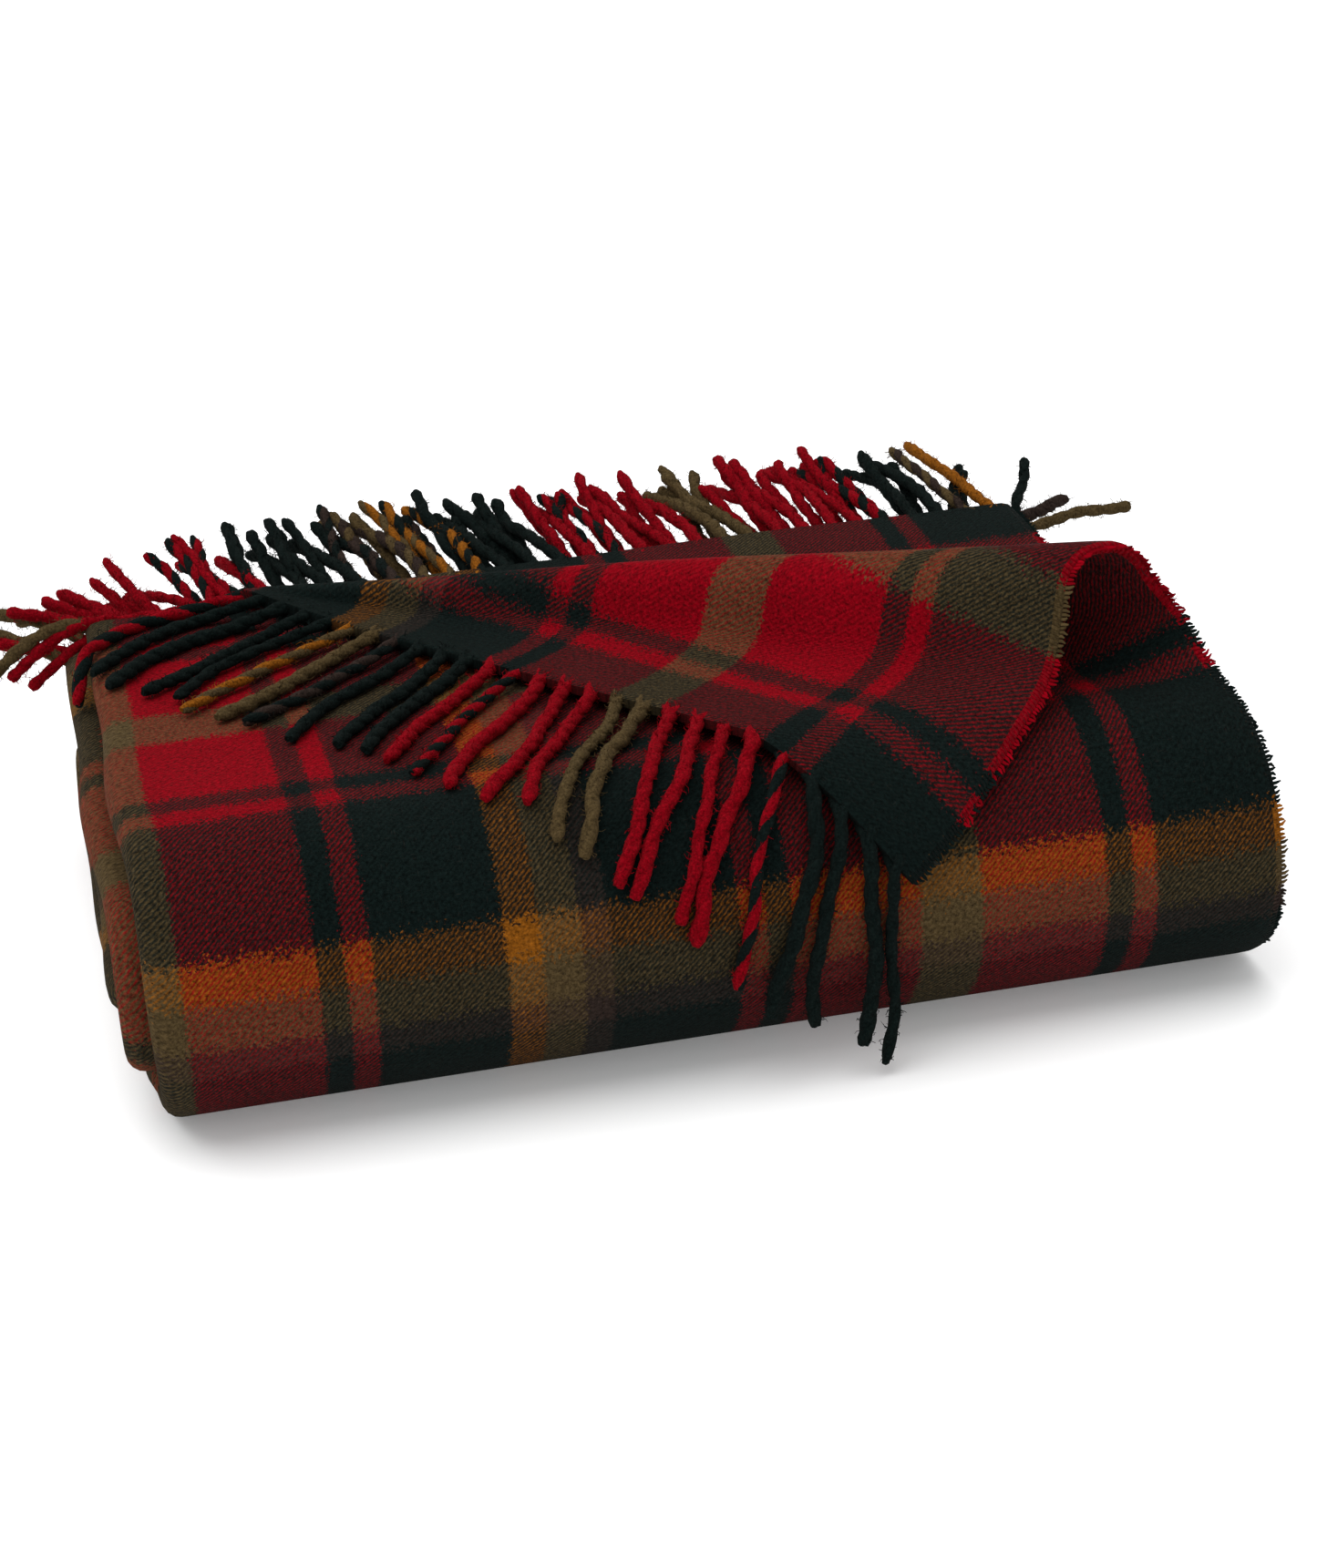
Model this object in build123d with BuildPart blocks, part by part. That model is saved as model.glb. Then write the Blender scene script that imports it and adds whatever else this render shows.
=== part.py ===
from build123d import *
import math
import os

# Folded throw blanket, millimetres. +X runs along the front roll from the folded edge (left)
# to the selvedges (right), +Y runs from the front roll to the fringed ends, +Z is up.
# The origin is the middle of the flat stretch that rests on the table.
#
# The cloth is folded in half across its width, in half along its length with both fringed
# ends together, and then in thirds. That makes four sheets, a (outside), b, c and d, which lie
# on top of each other twelve deep. The fringed corner of the top sheet is turned back, all but
# a strip of it next to the left fold.

# --- driving dimensions ---------------------------------------------------------------------
WIDTH = 355.0            # folded width, half of the cloth's
CLOTH = 5.0              # thickness of the brushed cloth
PITCH = 7.7              # height from one layer to the next, air included
LAYERS = 12
SHEETS = "abcd"
SELVEDGE = 3.5           # woven edge band
FRONT_Y = -95.0          # axis of the front roll
BACK_Y = 95.0            # axis of the back roll
HALF_FOLD_Y = -91.0      # axis of the fold that lies inside the front roll
FRINGE_Y = 97.0          # where the sheets b, c and d end and their fringe begins
FOLD_STEP = 8.0          # how far the fold of c and d stands out past that of a and b

TASSEL_RADIUS = 2.6
TASSEL_LENGTH = 75.0
TASSELS = 32             # along one edge
TASSEL_GAP = 3.2         # clearance from the cloth's edge to a tassel's slanted end
LEAN = 27.0              # how far left a tassel's tip lies of its base
LEAN_FAN = 10.0          # more of that near the left folds
LEAN_FAN_U = 45.0
LEAN_FAN_SPREAD = 25.0
SPLAY_LENGTH = 45.0      # stretch next to the selvedges where the tassels splay to the right
DROOP_U = 75.0           # the back fringe droops under the crease up to here,
DROOP_RUN = 45.0         # and over this stretch it lifts
SAG = 1.0                # bow of a tassel
# sheet: rise of the tips, rise of the tips at the left folds, splay at the selvedge
ROWS = {
    "a": (18.0, -2.0, 0.0),
    "b": (14.0, -6.0, 25.0),
    "c": (4.0, -10.0, 32.0),
    "d": (-6.0, -14.0, 58.0),
}

# The turned-back corner
CREASE_U = 50.0          # where the crease starts on the fringed edge, from the left folds
RIDGE_START_Y = 95.9     # the same point's Y
RIDGE_RIGHT_Y = -62.0    # where the crease ends, on the right selvedge
TURN_DEG = 53.3          # angle between the fringed edge and its place before it was turned
SHEET_RISE = 20.0        # how far the sheet below climbs to the crease at the right end
ARCH_HEIGHT = 42.0       # the arch that the corner makes there
ARCH_WIDTH = 74.0        # from the crease to where the corner lies down again
ARCH_WIDTH_LEFT = 6.0    # the same in line with the left fold
ARCH_PEAK = 0.25         # place of the arch's top, as a share of its width
ARCH_START = 0.6         # its height at the crease, as a share of the top's
RUNNING_GAP = 0.4        # clearance between the crease and the corner that turns on it
HANG_LEFT = 60.0         # plan angle of the corner's tassels from -X towards -Y
HANG_RIGHT = 90.0
HANG_TURN_U = 200.0      # past here along the edge they turn to hang straight down
HANG_SHORTER = 23.0      # how much shorter the last of them hangs, clear of the table
HANG_SLANT = 0.45        # forward reach for each millimetre that they hang below the roll's axis
BAND_GAP = 0.9           # clearance between the corner's cloth and its selvedge band
CORNER_INSET = (14.0, 18.0)  # its cloth ends this far from the crease's start and the selvedge

SHEET_STATIONS = 9       # sections in each lofted piece
FLAP_STATIONS = 13
SECTION_POINTS = 14
SLOPE_STEP = 0.5

# --- worked out -----------------------------------------------------------------------------
LEFT = -WIDTH / 2
RIGHT = WIDTH / 2
FOLD_RADIUS = PITCH / 2
LEFT_AB = LEFT + FOLD_RADIUS + CLOTH / 2
LEFT_CD = LEFT_AB - FOLD_STEP
BAND_X = RIGHT - SELVEDGE
FRONT_Z = CLOTH / 2 + PITCH * (LAYERS - 1) / 2
BACK_Z = CLOTH / 2 + PITCH * 3.5
HALF_FOLD_Z = FRONT_Z
TOP_Z = CLOTH / 2 + PITCH * (LAYERS - 1)
ROLL_RADIUS = TOP_Z - FRONT_Z
CREASE_X = LEFT + CREASE_U
CORNER_X = CREASE_X + (WIDTH - CREASE_U) * math.cos(math.radians(TURN_DEG))
CORNER_S = RIDGE_START_Y - (WIDTH - CREASE_U) * math.sin(math.radians(TURN_DEG))
FLAP_LIFT = PITCH        # height of the corner over the sheet that it lies on
BAND_DEPTH = SELVEDGE / math.cos(math.atan2(RIDGE_RIGHT_Y - CORNER_S, RIGHT - CORNER_X))


def level(layer):
    """Height of the middle of a layer, counted from 0 at the bottom."""
    return CLOTH / 2 + PITCH * layer


def left_of(sheet):
    """Where the flat part of a sheet starts, next to its left fold."""
    return LEFT_AB if sheet in "ab" else LEFT_CD


def stations(start, end, count):
    """Evenly spaced values, both ends included."""
    return [start + (end - start) * i / (count - 1) for i in range(count)]


def panel(layer, x_low, x_high, y_low, y_high):
    """A flat stretch of one layer, added to the part that is being built."""
    with BuildSketch(Plane.XY.offset(level(layer) - CLOTH / 2)) as profile:
        with Locations(((x_low + x_high) / 2, (y_low + y_high) / 2)):
            Rectangle(x_high - x_low, y_high - y_low)
    extrude(profile.sketch, amount=CLOTH)


def half_ring(plane, centre, radius, start):
    """A section through cloth that turns back on itself, on the given plane."""
    with BuildSketch(plane) as ring:
        with BuildLine():
            outer = CenterArc(centre, radius + CLOTH / 2, start, 180)
            inner = CenterArc(centre, radius - CLOTH / 2, start, 180)
            Line(outer @ 0, inner @ 0)
            Line(outer @ 1, inner @ 1)
        make_face()
    return ring.sketch


def bend(axis_y, axis_z, radius, start, x_low, x_high):
    """Half a turn of cloth about an axis along X."""
    ring = half_ring(Plane.YZ.offset(x_low), (axis_y, axis_z), radius, start)
    extrude(ring, amount=x_high - x_low)


def straight_fold(layer, x, y_low, y_high):
    """The left fold that joins a layer to the next one up, along a flat stretch."""
    middle = level(layer) + FOLD_RADIUS
    ring = half_ring(Plane.XZ.offset(-y_low), (x, middle), FOLD_RADIUS, 90)
    extrude(ring, amount=y_low - y_high)


def rolled_fold(axis_y, axis_z, radius, x, side):
    """The same left fold where it goes round a roll. side is -1 at the front and 1 at the back."""
    ring = half_ring(Plane.XZ.offset(-axis_y), (x, axis_z + radius), FOLD_RADIUS, 90)
    revolve(ring, axis=Axis((0, axis_y, axis_z), (-side, 0, 0)), revolution_arc=180)


def over_roll(s, height):
    """(y, z) of a point on the top or the front of the roll. s is its y if the roll were
    unrolled flat, and height is counted from the middle of the top sheet. Past the front of the
    roll a point hangs free, slanting forward."""
    if s >= FRONT_Y:
        return s, TOP_Z + height
    angle = (FRONT_Y - s) / ROLL_RADIUS
    reach = ROLL_RADIUS + height
    if angle > math.pi / 2:
        drop = (angle - math.pi / 2) * ROLL_RADIUS
        return FRONT_Y - reach - HANG_SLANT * drop, FRONT_Z - drop
    return FRONT_Y - reach * math.sin(angle), FRONT_Z + reach * math.cos(angle)


# --- the turned-back corner's shape ---------------------------------------------------------
def share(x):
    """0 at the left fold and 1 at the right selvedge."""
    return (x - LEFT) / WIDTH


def ridge_y(x):
    """The line of the crease, carried on to the left past its start."""
    slope = (RIDGE_RIGHT_Y - RIDGE_START_Y) / (RIGHT - CREASE_X)
    return RIDGE_START_Y + slope * (x - CREASE_X)


def sheet_end(x):
    """Where the top sheet ends at the back: its own fringed edge, then the crease."""
    return min(FRINGE_Y, ridge_y(x))


def arch_width(x):
    return ARCH_WIDTH_LEFT + (ARCH_WIDTH - ARCH_WIDTH_LEFT) * share(x)


def sheet_rise(x, y):
    """How far the top sheet stands off the stack in front of the crease."""
    span = min(arch_width(x), ridge_y(x) - FRONT_Y)
    d = (ridge_y(x) - y) / span
    return SHEET_RISE * share(x) * max(0.0, 1 - d) ** 1.5


def arch(x, s):
    """Height of the corner's arch over the sheet's flat level, at s."""
    d = (ridge_y(x) - s) / arch_width(x)
    if d >= 1:
        return 0.0
    if d < ARCH_PEAK:
        climb = math.sin(math.pi / 2 * d / ARCH_PEAK) ** 2
        return ARCH_HEIGHT * share(x) * (ARCH_START + (1 - ARCH_START) * climb)
    fall = math.cos(math.pi / 2 * (d - ARCH_PEAK) / (1 - ARCH_PEAK)) ** 2
    return ARCH_HEIGHT * share(x) * fall


def crease_gap(x):
    """Height from the sheet below to the corner above it, at the crease."""
    return FLAP_LIFT + (ARCH_START * ARCH_HEIGHT - SHEET_RISE) * share(x)


def free_edge(x):
    """Where the corner ends at x: its fringed edge, then its selvedge past the tip."""
    if x <= CORNER_X:
        along = (x - CREASE_X) / (CORNER_X - CREASE_X)
        return RIDGE_START_Y + (CORNER_S - RIDGE_START_Y) * along
    return CORNER_S + (ridge_y(RIGHT) - CORNER_S) * (x - CORNER_X) / (RIGHT - CORNER_X)


def flap_middle(x, s):
    return over_roll(s, FLAP_LIFT + arch(x, s))


def flap_section(x, s_high, s_low):
    """Both sides of the turned-back corner at one x, from s_high down to s_low."""
    upper, lower = [], []
    for s in stations(s_high, s_low, SECTION_POINTS):
        y, z = flap_middle(x, s)
        y_back, z_back = flap_middle(x, s + SLOPE_STEP)
        y_front, z_front = flap_middle(x, s - SLOPE_STEP)
        length = math.hypot(y_front - y_back, z_front - z_back)
        upright = min(1.0, (s_high - s) / CLOTH)  # its end at the crease is cut upright
        half_y = (z_front - z_back) / length * CLOTH / 2 * upright
        half_z = (y_back - y_front) / length * CLOTH / 2
        upper.append((y + half_y, z + half_z))
        lower.append((y - half_y, z - half_z))
    return upper, lower


def sheet_section(x):
    """Both sides of the top sheet at one x, from the roll to the crease."""
    upper, lower = [], []
    for y in stations(FRONT_Y, sheet_end(x), SECTION_POINTS):
        z = TOP_Z + sheet_rise(x, y)
        upper.append((y, z + CLOTH / 2))
        lower.append((y, z - CLOTH / 2))
    return upper, lower


def crease_section(x):
    """Half a ring that carries the cloth from the sheet up into the turned-back corner."""
    gap = crease_gap(x)
    middle = (ridge_y(x), TOP_Z + sheet_rise(x, ridge_y(x)) + gap / 2)
    return half_ring(Plane.YZ.offset(x), middle, gap / 2, -90)


def outline(x, sides):
    """One closed section at x, between the upper and the lower side of a strip of cloth."""
    with BuildSketch(Plane.YZ.offset(x)) as section:
        with BuildLine():
            upper = Spline(*sides[0])
            lower = Spline(*sides[1])
            Line(upper @ 0, lower @ 0)
            Line(upper @ 1, lower @ 1)
        make_face()
    return section.sketch


# --- fringe ---------------------------------------------------------------------------------
def tassel(base, middle, tip):
    """One twisted tassel as a plain round cord, bent in an arc."""
    with BuildLine() as route:
        ThreePointArc(base, middle, tip)
    with BuildSketch(Plane(origin=route.line @ 0, z_dir=route.line % 0)) as section:
        Circle(TASSEL_RADIUS)
    sweep(section.sketch, path=route.line)


def tassel_places():
    """Distances of the tassels along an edge, counted from its left end."""
    return [WIDTH * (i + 0.5) / TASSELS for i in range(TASSELS)]


def lean(u, splay):
    """How far to the left a tassel's tip lies: most near the folds, and to the right at the end."""
    fan = LEAN_FAN * math.exp(-(((u - LEAN_FAN_U) / LEAN_FAN_SPREAD) ** 2))
    right = max(0.0, (u - (WIDTH - SPLAY_LENGTH)) / SPLAY_LENGTH)
    return (LEAN + fan) * (1 - right) - splay * right


def back_tassel(u, layer, tip_rise, left_rise, splay):
    """A tassel of one of the sheets that end at the back."""
    mix = min(1.0, max(0.0, (u - DROOP_U) / DROOP_RUN))
    rise = left_rise + (tip_rise - left_rise) * mix
    dx = -lean(u, splay)
    dy = math.sqrt(TASSEL_LENGTH**2 - dx**2 - rise**2)
    x, y, z = LEFT + u, FRINGE_Y + TASSEL_GAP, level(layer)
    tassel((x, y, z), (x + dx * 0.45, y + dy / 2, z + rise / 2 - SAG), (x + dx, y + dy, z + rise))


def corner_tassel(u):
    """A tassel of the turned-back corner: it lies on the top and hangs over the front roll."""
    turn = math.radians(TURN_DEG)
    past = max(0.0, u - HANG_TURN_U) / (WIDTH - HANG_TURN_U)
    hang = math.radians(HANG_LEFT + (HANG_RIGHT - HANG_LEFT) * past)
    route = []
    for part_way in (0.0, 0.5, 1.0):
        reach = TASSEL_GAP + (TASSEL_LENGTH - HANG_SHORTER * past) * part_way
        x = CREASE_X + (u - CREASE_U) * math.cos(turn) - math.cos(hang) * reach
        s = RIDGE_START_Y - (u - CREASE_U) * math.sin(turn) - math.sin(hang) * reach
        route.append((x, *over_roll(s, FLAP_LIFT + SAG * math.sin(math.pi * part_way))))
    tassel(*route)


os.makedirs("parts", exist_ok=True)

# --- flat layers: the bottom third, the middle third and the top third ----------------------
BOTTOM = {"a": 0, "b": 1, "c": 2, "d": 3}
MIDDLE = {"d": 4, "c": 5, "b": 6, "a": 7}
TOP = {"d": 8, "c": 9, "b": 10, "a": 11}
THIRDS = {
    "bottom": (BOTTOM, FRONT_Y, BACK_Y),
    "middle": (MIDDLE, HALF_FOLD_Y, BACK_Y),
    "top": (TOP, FRONT_Y, FRINGE_Y),
}

for third, (layers, y_low, y_high) in THIRDS.items():
    for sheet, layer in layers.items():
        if layer == TOP["a"]:
            continue
        with BuildPart() as layer_panel:
            panel(layer, left_of(sheet), BAND_X, y_low, y_high)
        layer_panel.part.label = f"{third}_layer_{sheet}"
        export_step(layer_panel.part, f"parts/{third}_layer_{sheet}.step")

    with BuildPart() as third_selvedge:
        for layer in layers.values():
            if layer != TOP["a"]:
                panel(layer, BAND_X, RIGHT, y_low, y_high)
    third_selvedge.part.label = f"{third}_selvedges"
    export_step(third_selvedge.part, f"parts/{third}_selvedges.step")

    with BuildPart() as third_fold:
        low_ab, low_cd = min(layers["a"], layers["b"]), min(layers["c"], layers["d"])
        straight_fold(low_ab, LEFT_AB, y_low, y_high)
        straight_fold(low_cd, LEFT_CD, y_low, y_high)
    third_fold.part.label = f"{third}_left_folds"
    export_step(third_fold.part, f"parts/{third}_left_folds.step")

# --- rolls ----------------------------------------------------------------------------------
ROLLS = {
    "front": (FRONT_Y, FRONT_Z, 90, -1),
    "back": (BACK_Y, BACK_Z, 270, 1),
}
for roll, (axis_y, axis_z, start, side) in ROLLS.items():
    radii = [axis_z - level(layer) for layer in BOTTOM.values()]
    for sheet, radius in zip(SHEETS, radii):
        with BuildPart() as roll_layer:
            bend(axis_y, axis_z, radius, start, left_of(sheet), BAND_X)
        roll_layer.part.label = f"{roll}_roll_{sheet}"
        export_step(roll_layer.part, f"parts/{roll}_roll_{sheet}.step")

    with BuildPart() as roll_selvedge:
        for radius in radii:
            bend(axis_y, axis_z, radius, start, BAND_X, RIGHT)
    roll_selvedge.part.label = f"{roll}_roll_selvedges"
    export_step(roll_selvedge.part, f"parts/{roll}_roll_selvedges.step")

    with BuildPart() as roll_fold:
        rolled_fold(axis_y, axis_z, (radii[0] + radii[1]) / 2, LEFT_AB, side)
        rolled_fold(axis_y, axis_z, (radii[2] + radii[3]) / 2, LEFT_CD, side)
    roll_fold.part.label = f"{roll}_roll_left_folds"
    export_step(roll_fold.part, f"parts/{roll}_roll_left_folds.step")

# --- the half fold inside the front roll ----------------------------------------------------
for name, radius in (("outer", 1.5 * PITCH), ("inner", 0.5 * PITCH)):
    with BuildPart() as half_fold:
        bend(HALF_FOLD_Y, HALF_FOLD_Z, radius, 90, LEFT_AB, RIGHT)
    half_fold.part.label = f"half_fold_{name}"
    export_step(half_fold.part, f"parts/half_fold_{name}.step")

# --- the top sheet in front of the crease, and the crease ------------------------------------
with BuildPart() as top_layer_a:
    places = [LEFT_AB] + stations(CREASE_X, BAND_X, SHEET_STATIONS)
    sections = [outline(x, sheet_section(x)) for x in places]
    loft(sections, ruled=True)
top_layer_a.part.label = "top_layer_a"
export_step(top_layer_a.part, "parts/top_layer_a.step")

with BuildPart() as top_selvedge_a:
    loft([outline(x, sheet_section(x)) for x in (BAND_X, RIGHT)], ruled=True)
top_selvedge_a.part.label = "top_selvedge_a"
export_step(top_selvedge_a.part, "parts/top_selvedge_a.step")

with BuildPart() as crease:
    loft([crease_section(x) for x in (CREASE_X, RIGHT)], ruled=True)
crease.part.label = "corner_crease"
export_step(crease.part, "parts/corner_crease.step")

# --- the corner that turns on the crease ----------------------------------------------------
fringe_side = stations(CREASE_X + CORNER_INSET[0], CORNER_X, FLAP_STATIONS)
selvedge_side = stations(CORNER_X + BAND_DEPTH, RIGHT - CORNER_INSET[1], FLAP_STATIONS)
with BuildPart() as corner_flap:
    sections = []
    for x in fringe_side + selvedge_side:
        end = free_edge(x) + (BAND_DEPTH + BAND_GAP if x > CORNER_X else 0.0)
        sections.append(outline(x, flap_section(x, ridge_y(x) - RUNNING_GAP, end)))
    loft(sections, ruled=True)
corner_flap.part.label = "corner_flap"
export_step(corner_flap.part, "parts/corner_flap.step")

with BuildPart() as corner_selvedge:
    sections = []
    for x in selvedge_side:
        sections.append(outline(x, flap_section(x, free_edge(x) + BAND_DEPTH, free_edge(x))))
    loft(sections, ruled=True)
corner_selvedge.part.label = "corner_selvedge"
export_step(corner_selvedge.part, "parts/corner_selvedge.step")

# --- fringe rows ----------------------------------------------------------------------------
for sheet, (tip_rise, left_rise, splay) in ROWS.items():
    with BuildPart() as back_fringe:
        for u in tassel_places():
            if sheet != "a" or u < CREASE_U:
                back_tassel(u, TOP[sheet], tip_rise, left_rise, splay)
    back_fringe.part.label = f"fringe_{sheet}"
    export_step(back_fringe.part, f"parts/fringe_{sheet}.step")

with BuildPart() as corner_fringe:
    for u in tassel_places():
        if u > CREASE_U:
            corner_tassel(u)
corner_fringe.part.label = "corner_fringe"
export_step(corner_fringe.part, "parts/corner_fringe.step")
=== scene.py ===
import math

import bpy
import numpy as np
from mathutils import Matrix, Vector


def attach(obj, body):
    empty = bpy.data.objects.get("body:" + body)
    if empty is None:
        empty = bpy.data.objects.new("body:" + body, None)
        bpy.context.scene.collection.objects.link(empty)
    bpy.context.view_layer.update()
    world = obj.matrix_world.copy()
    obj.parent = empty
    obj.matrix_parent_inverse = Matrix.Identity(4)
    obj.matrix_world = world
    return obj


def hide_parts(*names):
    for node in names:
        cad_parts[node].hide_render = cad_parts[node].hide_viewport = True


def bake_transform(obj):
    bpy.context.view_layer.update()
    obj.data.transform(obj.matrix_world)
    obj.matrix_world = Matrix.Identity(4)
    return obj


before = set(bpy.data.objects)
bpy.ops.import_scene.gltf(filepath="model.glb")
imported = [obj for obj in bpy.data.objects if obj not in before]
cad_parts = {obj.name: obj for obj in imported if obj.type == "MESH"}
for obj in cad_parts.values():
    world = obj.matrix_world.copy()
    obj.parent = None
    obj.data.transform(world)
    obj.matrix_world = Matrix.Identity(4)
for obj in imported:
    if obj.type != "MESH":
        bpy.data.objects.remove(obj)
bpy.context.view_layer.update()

SEED = 11
RNG = np.random.default_rng(SEED)

# Shapes are worked out in millimetres, with x from the left fold (0) to the selvedges (355),
# y from the front of the roll (0) to the fringed ends, and z up. ORIGIN moves them to the
# CAD frame. The cloth itself is measured by u, across from the left fold, and v, along from
# the fringed edge of the outside sheet.
ORIGIN = np.array([177.5, 140.0, 0.0])
MM = 0.001

# --- driving dimensions, as in the CAD ----------------------------------------------------------
WIDTH = 355.0
PITCH = 7.7
FRONT = (45.0, 44.85)        # axis of the front roll, (y, z)
BACK = (235.0, 29.45)        # axis of the back roll
HALF_FOLD = (49.0, 44.85)    # axis of the fold inside the front roll
FRINGE_Y = 237.0
BOTTOM_Z = 2.5               # middle of the bottom layer
TOP_Z = 87.2                 # middle of the top sheet
ROLL_RADIUS = 42.35
ROLL_LENGTH_RADIUS = 45.0    # the radius that lengths round the front roll are counted at
FOLD_RADIUS = PITCH / 2
FOLD_STEP = 8.0
THICKNESS = 4.4
CREASE_U = 50.0              # the turned corner starts here on the fringed edge

# --- the woven pattern --------------------------------------------------------------------------
# One repeat of the check along u, from the middle of the left fold: (colour, width).
SETT = [
    ("taupe", 9.75),
    ("red", 41.0),
    ("green", 8.0),
    ("red", 7.75),
    ("green", 41.0),
    ("gold", 10.5),
    ("taupe", 12.0),
    ("brown", 8.5),
    ("green", 41.0),
    ("red", 7.7),
    ("green", 8.0),
    ("red", 41.0),
    ("taupe", 9.75),
]
REPEAT = sum(width for _, width in SETT)
WARP_START = 4 * REPEAT      # added to u, so that the place in the repeat is never negative
WARP_BLUR = 8.0              # how far stray fibres blur the edges of the warp's stripes
WEFT_SCALE = 1.205           # the same repeat is this much longer along v
WEFT_START = 138.5           # place in the repeat at v = 0
WEFT_BLUR = 20.0
TWILL_PITCH = 1.9            # from one diagonal of the twill to the next, across the warp
SELVEDGE_WIDTH = 2.4         # the strip along the selvedge where only the weft shows
LOOP_PITCH = 1.5             # from one loop of the weft to the next in that strip
EDGE_V = 17.0                # v of the fringed edge
FLAT_V = 255.5               # v + y of the top sheet where it lies flat
EDGE_Y = FLAT_V - EDGE_V     # y of the fringed edge of the top sheet
COLOURS = {
    "red": (0.18, 0.0005, 0.0045),
    "green": (0.0034, 0.0072, 0.0066),
    "gold": (0.19, 0.062, 0.005),
    "taupe": (0.064, 0.043, 0.018),
    "brown": (0.024, 0.016, 0.013),
}


def smooth(t):
    """0 up to t = 0, 1 from t = 1 on, and an even rise between them."""
    t = np.clip(t, 0.0, 1.0)
    return t * t * (3 - 2 * t)


def curve(x, xs, ys):
    """A smooth curve through the points (xs, ys), with no overshoot, at x."""
    xs, ys = np.asarray(xs, float), np.asarray(ys, float)
    step, rise = np.diff(xs), np.diff(ys)
    slope = rise / step
    tangent = np.zeros(len(xs))
    same = slope[:-1] * slope[1:] > 0
    harmonic = 2 * slope[:-1] * slope[1:] / np.where(same, slope[:-1] + slope[1:], 1.0)
    tangent[1:-1] = np.where(same, harmonic, 0.0)
    tangent[0], tangent[-1] = slope[0], slope[-1]
    x = np.clip(x, xs[0], xs[-1])
    i = np.clip(np.searchsorted(xs, x, side="right") - 1, 0, len(step) - 1)
    t = (x - xs[i]) / step[i]
    h = step[i]
    return (
        (2 * t**3 - 3 * t**2 + 1) * ys[i]
        + (t**3 - 2 * t**2 + t) * h * tangent[i]
        + (3 * t**2 - 2 * t**3) * ys[i + 1]
        + (t**3 - t**2) * h * tangent[i + 1]
    )


# --- the top sheet and its turned corner --------------------------------------------------------
# The right selvedge of the top sheet, from its fringed corner over the arch of the turned
# corner and down to the front roll: (v, x, s, height). s is y with the roll unrolled flat, and
# height is counted from the flat top.
SELVEDGE_LINE = np.array(
    [
        (17.0, 231.0, -10.0, 8.0),
        (49.0, 250.0, 4.0, 8.0),
        (68.4, 263.0, 16.0, 8.5),
        (88.0, 277.0, 29.0, 11.5),
        (104.0, 288.0, 38.5, 16.0),
        (117.0, 294.0, 44.0, 21.5),
        (130.0, 298.5, 49.5, 32.0),
        (142.0, 302.5, 54.4, 42.0),
        (150.0, 308.5, 58.9, 47.6),
        (156.5, 315.5, 61.5, 49.8),
        (163.6, 325.0, 64.3, 48.8),
        (170.0, 333.0, 67.8, 43.0),
        (177.7, 339.5, 69.8, 33.6),
        (184.0, 344.5, 69.4, 26.5),
        (191.0, 348.0, 66.5, 20.6),
        (201.0, 350.0, 60.7, 13.9),
        (210.6, 351.0, 52.8, 8.4),
        (222.0, 352.5, 42.0, 4.6),
        (236.0, 353.8, 26.5, 2.6),
        (256.0, 354.8, 2.5, 1.2),
        (280.0, 355.0, -23.5, 0.3),
        (310.0, 355.0, -54.5, 0.0),
        (340.0, 355.0, -84.5, 0.0),
    ]
)
CREASE_SLOPE = 151.0 / 305.0  # v of the crease over u, past its start
SPLIT = 7.5                   # the turned corner's piece reaches this far past the crease
TIGHT_RADIUS = 2.6            # of the crease where it is pressed flat
START_ROUNDER = 1.7           # and how much larger it is at its start
BACK_SAG = -2.0               # the stack's top over its nominal height, at the fringed edge
FRONT_SWELL = 4.3             # and where it meets the front roll


# The hump of the sheet under it at the right end, behind the arch, by y.
HUMP_AT = [0, 20, 45, 54, 62, 70, 80, 93, 110, 130, 150, 175, 205, 238]
HUMP_HEIGHT = [0, 0.5, 4, 8, 13, 18, 22, 24, 21, 14, 7, 2, 0, 0]


def base_height(s):
    """How far the top of the stack stands over its nominal height, by y."""
    back = BACK_SAG + (FRONT_SWELL - BACK_SAG) * (EDGE_Y - s) / (EDGE_Y - FRONT[0])
    on_roll = FRONT_SWELL * (1 - smooth((FRONT[0] - s) / ROLL_LENGTH_RADIUS))
    return np.where(s >= FRONT[0], back, on_roll)


def crease_v(u):
    """v of the crease of the turned corner."""
    return EDGE_V + CREASE_SLOPE * np.maximum(0.0, u - CREASE_U)


def split_v(u):
    """v of the line where the turned corner's piece meets the rest of the cloth."""
    f = np.maximum(0.0, u - CREASE_U) / (WIDTH - CREASE_U)
    return crease_v(u) + SPLIT * smooth(f / 0.06)


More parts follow.
